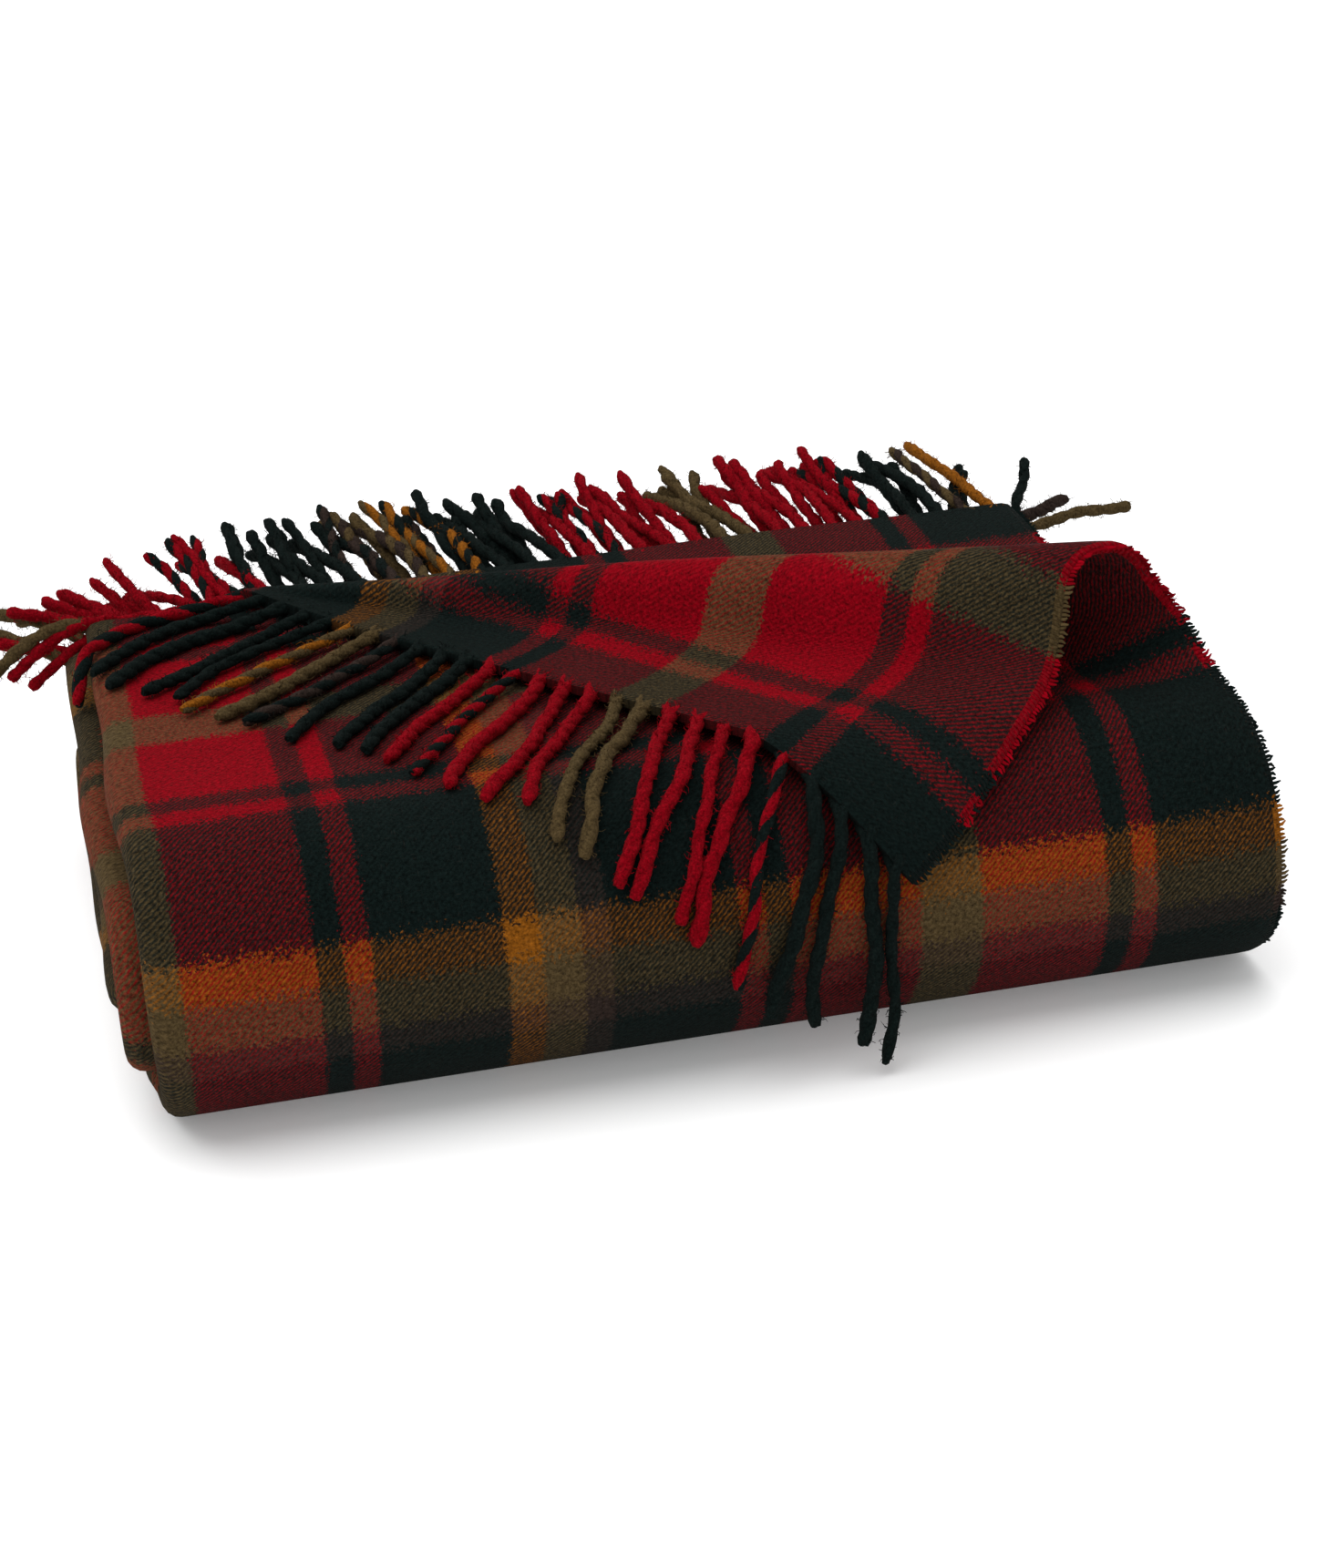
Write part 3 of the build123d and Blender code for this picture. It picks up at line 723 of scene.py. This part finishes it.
# --- materials ----------------------------------------------------------------------------------
class Nodes:
    """Short names for building a material's node tree."""

    def __init__(self, name):
        self.material = bpy.data.materials.new(name)
        self.material.use_nodes = True
        self.tree = self.material.node_tree
        self.shader = self.tree.nodes["Principled BSDF"]

    def put(self, socket, value):
        if isinstance(value, bpy.types.NodeSocket):
            self.tree.links.new(value, socket)
        else:
            socket.default_value = value

    def math(self, operation, a, b=None, clamp=False):
        node = self.tree.nodes.new("ShaderNodeMath")
        node.operation = operation
        node.use_clamp = clamp
        self.put(node.inputs[0], a)
        if b is not None:
            self.put(node.inputs[1], b)
        return node.outputs[0]

    def add(self, a, b):
        return self.math("ADD", a, b)

    def minus(self, a, b, clamp=False):
        return self.math("SUBTRACT", a, b, clamp)

    def times(self, a, b):
        return self.math("MULTIPLY", a, b)

    def noise(self, vector, scale, detail=2.0, roughness=0.5):
        node = self.tree.nodes.new("ShaderNodeTexNoise")
        self.put(node.inputs["Vector"], vector)
        node.inputs["Scale"].default_value = scale
        node.inputs["Detail"].default_value = detail
        node.inputs["Roughness"].default_value = roughness
        return node.outputs["Fac"]

    def mix(self, factor, a, b, blend="MIX"):
        node = self.tree.nodes.new("ShaderNodeMix")
        node.data_type = "RGBA"
        node.blend_type = blend
        self.put(node.inputs["Factor"], factor)
        self.put(node.inputs[6], a)
        self.put(node.inputs[7], b)
        return node.outputs[2]

    def shade(self, colour, grey):
        """A colour times a grey."""
        return self.mix(1.0, colour, self.combine(grey, grey, grey), "MULTIPLY")

    def combine(self, x, y, z):
        node = self.tree.nodes.new("ShaderNodeCombineXYZ")
        for socket, value in zip(node.inputs, (x, y, z)):
            self.put(socket, value)
        return node.outputs[0]

    def cloth(self):
        """u, v and side of the cloth at this point."""
        node = self.tree.nodes.new("ShaderNodeAttribute")
        node.attribute_name = "cloth"
        split = self.tree.nodes.new("ShaderNodeSeparateXYZ")
        self.tree.links.new(node.outputs["Vector"], split.inputs[0])
        return split.outputs

    def red(self, colour):
        """The red share of a colour, by which the yarns differ in brightness."""
        split = self.tree.nodes.new("ShaderNodeSeparateColor")
        self.tree.links.new(colour, split.inputs[0])
        return split.outputs[0]

    def millimetres(self):
        """Place in the object, in millimetres."""
        place = self.tree.nodes.new("ShaderNodeTexCoord")
        node = self.tree.nodes.new("ShaderNodeVectorMath")
        node.operation = "SCALE"
        self.put(node.inputs[0], place.outputs["Object"])
        node.inputs["Scale"].default_value = 1 / MM
        return node.outputs[0]

    def sett(self, place):
        """Colour of the repeat at a place along it, in millimetres from the left fold."""
        node = self.tree.nodes.new("ShaderNodeValToRGB")
        node.color_ramp.interpolation = "CONSTANT"
        elements = node.color_ramp.elements
        while len(elements) < len(SETT):
            elements.new(0.5)
        at = 0.0
        for element, (colour, width) in zip(elements, SETT):
            element.position = at / REPEAT
            element.color = (*COLOURS[colour], 1.0)
            at += width
        self.put(node.inputs[0], self.math("FRACT", self.math("DIVIDE", place, REPEAT)))
        return node.outputs[0]

    def bump(self, height, strength, distance, normal=None):
        node = self.tree.nodes.new("ShaderNodeBump")
        node.inputs["Strength"].default_value = strength
        node.inputs["Distance"].default_value = distance
        self.put(node.inputs["Height"], height)
        if normal is not None:
            self.put(node.inputs["Normal"], normal)
        return node.outputs[0]


def wool_surface(n, colour, height):
    """The shading that every woollen piece shares: matt, with a soft nap."""
    n.put(n.shader.inputs["Base Color"], colour)
    n.shader.inputs["Roughness"].default_value = 0.95
    n.shader.inputs["Specular IOR Level"].default_value = 0.02
    n.shader.inputs["Sheen Weight"].default_value = 0.012
    n.shader.inputs["Sheen Roughness"].default_value = 0.5
    n.shader.inputs["Sheen Tint"].default_value = (0.9, 0.7, 0.62, 1.0)
    n.put(n.shader.inputs["Normal"], height)


def stripes(n, u, v, on_cloth):
    """The warp's and the weft's colours. Stray fibres blur the edges of the stripes."""
    stray_u = n.minus(n.noise(on_cloth, 0.9, 2.0, 0.6), 0.5)
    stray_v = n.minus(n.noise(n.combine(v, u, 7.0), 0.9, 2.0, 0.6), 0.5)
    warp_place = n.add(n.add(u, n.times(stray_u, WARP_BLUR)), WARP_START)
    weft_v = n.add(v, n.times(stray_v, WEFT_BLUR))
    weft_place = n.add(n.math("DIVIDE", weft_v, WEFT_SCALE), WEFT_START)
    return n.sett(warp_place), n.sett(weft_place)


def twill(n, warp, weft, wave, streaks):
    """The share of the warp's colour: diagonal floats, broken up by the brushing. The darker
    of the two yarns shows more."""
    floats = n.add(n.times(wave, 0.4), 0.5)
    broken = n.times(n.minus(n.noise(streaks, 1.0, 3.0, 0.65), 0.5), 3.0)
    darker = n.times(n.minus(n.red(weft), n.red(warp)), 1.6)
    crisp = n.math("ADD", n.add(floats, broken), darker, clamp=True)
    blended = n.add(darker, 0.5)
    return n.add(n.times(crisp, 0.8), n.times(blended, 0.2))


def flecked(n, colour, fleck, on_cloth, streaks):
    """Light and dark flecks of the nap, and a slow drift of the dye."""
    drift = n.noise(on_cloth, 0.03, 2.0)
    brushed = n.noise(streaks, 0.55, 2.0, 0.6)
    grey = n.add(n.add(n.times(fleck, 4.0), n.times(drift, 0.3)), n.times(brushed, 0.6))
    return n.shade(colour, n.math("MAXIMUM", n.minus(grey, 1.47), 0.12))


def stray_hairs(n, colour, u, v):
    """Pale hairs that lie on the cloth, some along it and some across."""
    for along, across, seed in ((2.4, 0.28, 3.0), (0.3, 2.1, 9.0)):
        space = n.combine(n.times(u, along), n.times(v, across), seed)
        hair = n.minus(n.noise(space, 1.0, 1.0), 0.66, clamp=True)
        share = n.math("MULTIPLY", hair, 0.8, clamp=True)
        colour = n.mix(share, colour, (0.08, 0.055, 0.045, 1.0))
    return colour


def cloth_material():
    """Brushed wool in a two-and-two twill, in the colours of the check. Its selvedge shows
    the weft alone."""
    n = Nodes("brushed_tartan_twill")
    u, v, side = n.cloth()
    on_cloth = n.combine(u, v, 0.0)
    diagonal = n.minus(u, n.times(v, side))
    along_diagonal = n.add(u, n.times(v, side))
    streaks = n.combine(n.times(diagonal, 1.5), n.times(along_diagonal, 0.5), side)
    wander = n.times(n.noise(on_cloth, 0.55, 2.0), 5.0)
    wave = n.math("SINE", n.add(n.times(diagonal, 2 * math.pi / TWILL_PITCH), wander))
    fleck = n.noise(on_cloth, 0.75, 4.0, 0.8)
    from_edge = n.minus(WIDTH, n.math("ABSOLUTE", u))
    in_cloth = n.math("GREATER_THAN", from_edge, SELVEDGE_WIDTH)

    warp, weft = stripes(n, u, v, on_cloth)
    mask = n.times(twill(n, warp, weft, wave, streaks), in_cloth)
    colour = n.mix(mask, weft, warp)
    colour = flecked(n, colour, fleck, on_cloth, streaks)
    colour = stray_hairs(n, colour, u, v)

    picks = n.math("SINE", n.times(v, 2 * math.pi / LOOP_PITCH))
    picks = n.times(picks, n.minus(1.0, in_cloth))
    relief = n.add(n.add(n.times(wave, 0.1), n.times(fleck, 1.1)), n.times(picks, 0.6))
    coarse = n.bump(n.noise(on_cloth, 0.07, 3.0), 0.35, 0.0016)
    wool_surface(n, colour, n.bump(relief, 0.9, 0.0008, coarse))
    return n.material


def fringe_material():
    """Twisted yarn in the warp's colours, with flecks and pale loose hair."""
    n = Nodes("twisted_wool_fringe")
    fleck = n.noise(n.millimetres(), 1.1, 4.0, 0.8)
    colour = n.sett(n.add(n.cloth()[0], WARP_START))
    colour = n.shade(colour, n.math("MAXIMUM", n.minus(n.times(fleck, 4.6), 1.05), 0.15))
    pale = n.times(n.minus(fleck, 0.58, clamp=True), 0.14)
    colour = n.mix(pale, colour, (0.4, 0.3, 0.24, 1.0))
    wool_surface(n, colour, n.bump(fleck, 1.0, 0.0012))
    return n.material


def floor_material():
    """A pale, matt table, lit very slightly from below."""
    n = Nodes("pale_floor")
    n.shader.inputs["Base Color"].default_value = (0.9, 0.9, 0.9, 1.0)
    n.shader.inputs["Roughness"].default_value = 0.8
    n.shader.inputs["Emission Color"].default_value = (1.0, 1.0, 1.0, 1.0)
    n.shader.inputs["Emission Strength"].default_value = 0.16
    return n.material


# --- the object ---------------------------------------------------------------------------------
cloth_finish = cloth_material()
fringe_finish = fringe_material()

body_shape, corner_shape = body_grid(), corner_grid()
body = thick_sheet("folded_cloth", *body_shape, cloth_finish)
corner = thick_sheet("turned_corner_cloth", *corner_shape, cloth_finish)
body_loops = selvedge_loops(body_shape, ((0, 3), (-1, -4)))
corner_loops = selvedge_loops(corner_shape, ((-1, -4),))
still_nap, corner_nap = Strands(), Strands()
fold = int(np.argmin(np.abs(body_shape[1][0, :, 0])))
edge = body_shape[0].shape[1] - 1
# where fibres are seen to stand out: (side of the sheet, rows, columns, how many)
for patch in (
    (1, (0, 84), (fold, edge), 4200),
    (1, (110, 134), (fold, edge), 900),
    (-1, (0, 36), (0, fold), 900),
    (1, (0, 270), (fold - 6, fold + 6), 900),
):
    nap(still_nap, body_shape, *patch)
nap(corner_nap, corner_shape, -1, (0, 53), (0, corner_shape[0].shape[1] - 1), 1100)
body_nap = still_nap.build("loose_fibres", cloth_finish)
turned_nap = corner_nap.build("corner_loose_fibres", cloth_finish)
body_selvedge = body_loops.build("selvedge_loops", cloth_finish)
corner_selvedge = corner_loops.build("corner_selvedge_loops", cloth_finish)
corner_tassels = corner_fringe(fringe_finish)
back_rows = {sheet: back_fringe(sheet, fringe_finish) for sheet in ROWS}

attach(body, "folded_throw")
for sheet, row in back_rows.items():
    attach(row, "folded_throw")
    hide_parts(f"fringe_{sheet}")
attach(corner_tassels, "turned_corner")
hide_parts("corner_fringe")

MOVING = ("corner_flap", "corner_selvedge", "corner_fringe")
STILL = [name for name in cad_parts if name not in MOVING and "fringe" not in name]
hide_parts(*[name for name in STILL if "selvedge" not in name])
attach(body_selvedge, "folded_throw")
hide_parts(*[name for name in STILL if "selvedge" in name])
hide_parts("corner_flap")
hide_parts("corner_selvedge")
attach(body_nap, "folded_throw")

# The turned corner's cloth, its selvedge loops and its loose fibres are attached to no body; their
# placement is baked into their meshes.
for piece in (corner, corner_selvedge, turned_nap):
    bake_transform(piece)

# --- floor, light and camera --------------------------------------------------------------------
AZIMUTH, ELEVATION, ROLL = map(math.radians, (-12.10, 24.89, -2.78))
CAMERA_PLACE = (-0.1979, -0.9617, 0.4962)
LONG_SIDE, FOCAL_PIXELS = 1721, 3455.94


def lay_floor():
    bpy.ops.mesh.primitive_plane_add(size=40.0, location=(0, 0, 0))
    floor = bpy.context.object
    floor.name = "floor"
    floor.data.materials.append(floor_material())


def light_softly():
    """One very wide soft light from above and behind, in a white room."""
    softbox = bpy.data.lights.new("softbox", "SUN")
    softbox.energy = 2.6
    softbox.angle = math.radians(75.0)
    overhead = bpy.data.objects.new("softbox", softbox)
    bpy.context.scene.collection.objects.link(overhead)
    overhead.location = (-0.4, 0.5, 2.0)
    overhead.rotation_euler = Vector((0.2, -0.2, -1.0)).to_track_quat("-Z", "Y").to_euler()

    world = bpy.data.worlds.new("studio")
    world.use_nodes = True
    background = world.node_tree.nodes["Background"]
    background.inputs["Color"].default_value = (1.0, 1.0, 1.0, 1.0)
    background.inputs["Strength"].default_value = 0.7
    bpy.context.scene.world = world
    bpy.context.scene.view_settings.view_transform = "Standard"


def aim(azimuth, elevation, roll):
    """The camera's axes as columns: right, up and back."""
    back = np.array(
        [
            math.sin(azimuth) * math.cos(elevation),
            -math.cos(azimuth) * math.cos(elevation),
            math.sin(elevation),
        ]
    )
    level_right = np.array([math.cos(azimuth), math.sin(azimuth), 0.0])
    level_up = np.cross(back, level_right)
    right = math.cos(roll) * level_right + math.sin(roll) * level_up
    up = -math.sin(roll) * level_right + math.cos(roll) * level_up
    return np.stack([right, up, back], 1)


def place_camera():
    lens = bpy.data.cameras.new("camera")
    lens.sensor_width = 36.0
    lens.lens = lens.sensor_width * FOCAL_PIXELS / LONG_SIDE
    lens.clip_start, lens.clip_end = 0.01, 50.0
    camera = bpy.data.objects.new("camera", lens)
    bpy.context.scene.collection.objects.link(camera)
    axes = Matrix(aim(AZIMUTH, ELEVATION, ROLL).tolist()).to_4x4()
    camera.matrix_world = Matrix.Translation(CAMERA_PLACE) @ axes
    bpy.context.scene.camera = camera


lay_floor()
light_softly()
place_camera()
